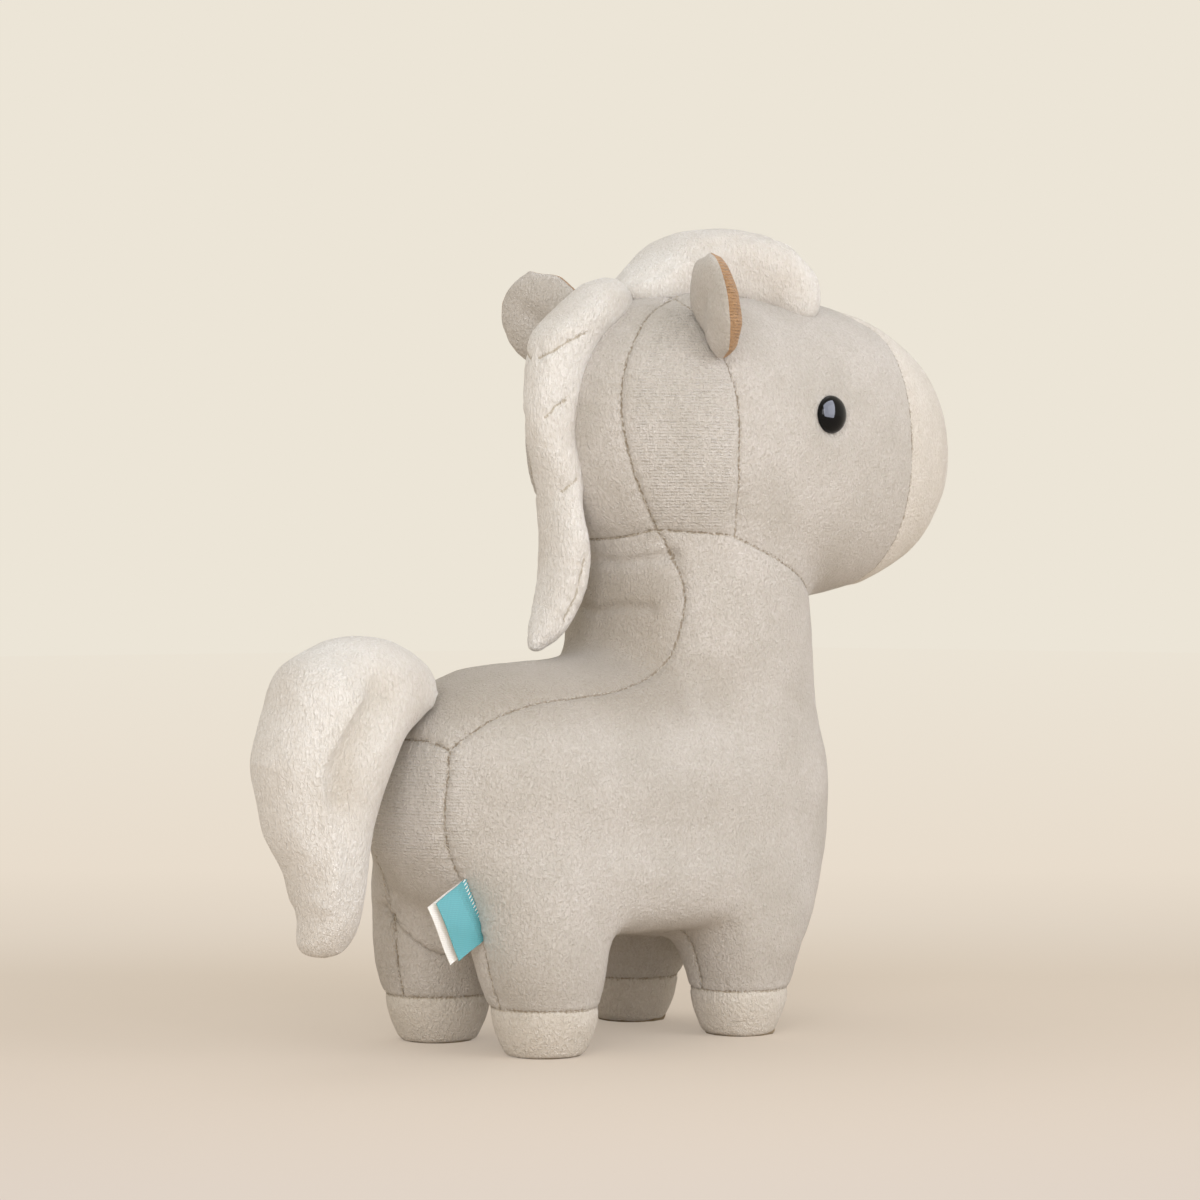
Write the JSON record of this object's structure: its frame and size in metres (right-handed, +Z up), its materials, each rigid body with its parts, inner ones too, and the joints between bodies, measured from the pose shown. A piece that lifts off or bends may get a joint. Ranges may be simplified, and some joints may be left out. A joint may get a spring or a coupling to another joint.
{
  "type": "plush horse",
  "caption": "Standing plush horse with a large rounded head, stuffed mane, forelock and tail, round ears, safety eyes and flat-soled hooves.",
  "frame": {"origin": "middle of the footprint of the whole horse, on the surface that it stands on", "axes": "+X towards the nose, +Y towards the horse's left, +Z up"},
  "size_m": [0.3792, 0.1474, 0.355],
  "materials": {
    "cover_plush": "short pile plush",
    "pale_plush": "short pile plush",
    "mane_plush": "soft plush",
    "ear_lining": "short pile plush",
    "sole_fabric": "short pile plush",
    "ribbon": "woven ribbon",
    "fibre": "loose polyester fibre",
    "eye_plastic": "gloss",
    "washer_plastic": "matte"
  },
  "bodies": {
    "horse": {"torso": "cover_plush", "neck": "cover_plush", "leg_front_left": "cover_plush", "leg_front_right": "cover_plush", "leg_hind_left": "cover_plush", "leg_hind_right": "cover_plush", "hoof_front_left": "pale_plush", "hoof_front_right": "pale_plush", "hoof_hind_left": "pale_plush", "hoof_hind_right": "pale_plush", "sole_front_left": "sole_fabric", "sole_front_right": "sole_fabric", "sole_hind_left": "sole_fabric", "sole_hind_right": "sole_fabric", "head": "cover_plush", "face_gusset": "pale_plush", "eye_left": "eye_plastic", "eye_right": "eye_plastic", "eye_washer_left": "washer_plastic", "eye_washer_right": "washer_plastic", "stuffing": "fibre", "mane_upper": "mane_plush", "mane_upper_stuffing": "fibre", "forelock": "mane_plush", "forelock_stuffing": "fibre"},
    "mane_lock": {"mane_lock": "mane_plush", "mane_lock_stuffing": "fibre"},
    "tail": {"tail": "mane_plush", "tail_stuffing": "fibre"},
    "ear_left": {"ear_left": "cover_plush", "ear_left_lining": "ear_lining"},
    "ear_right": {"ear_right": "cover_plush", "ear_right_lining": "ear_lining"},
    "label": {"label": "ribbon"}
  },
  "joints": [
    {"name": "tail_seam", "type": "hinge", "parent": "horse", "child": "tail", "pos_m": [-0.11235, 0, 0.15], "axis": [0, 1, 0], "range_deg": [-3, 50], "stiffness_Nm_per_rad": 0.25, "springref_deg": 1.15},
    {"name": "mane_lock_seam", "type": "hinge", "parent": "horse", "child": "mane_lock", "pos_m": [-0.03035, 0, 0.227], "axis": [0, 1, 0], "range_deg": [-2, 45], "stiffness_Nm_per_rad": 0.02},
    {"name": "ear_left_seam", "type": "hinge", "parent": "horse", "child": "ear_left", "pos_m": [0.01565, 0.04376, 0.30276], "axis": [-0.1139, 0.6461, -0.7547], "range_deg": [-20, 30], "stiffness_Nm_per_rad": 0.01},
    {"name": "ear_right_seam", "type": "hinge", "parent": "horse", "child": "ear_right", "pos_m": [0.01565, -0.04376, 0.30276], "axis": [0.1139, 0.6461, 0.7547], "range_deg": [-20, 30], "stiffness_Nm_per_rad": 0.01},
    {"name": "label_seam", "type": "hinge", "parent": "horse", "child": "label", "pos_m": [-0.10349, -0.029, 0.062], "axis": [0.454, 0, -0.891], "range_deg": [-30, 30], "stiffness_Nm_per_rad": 0.0005}
  ]
}
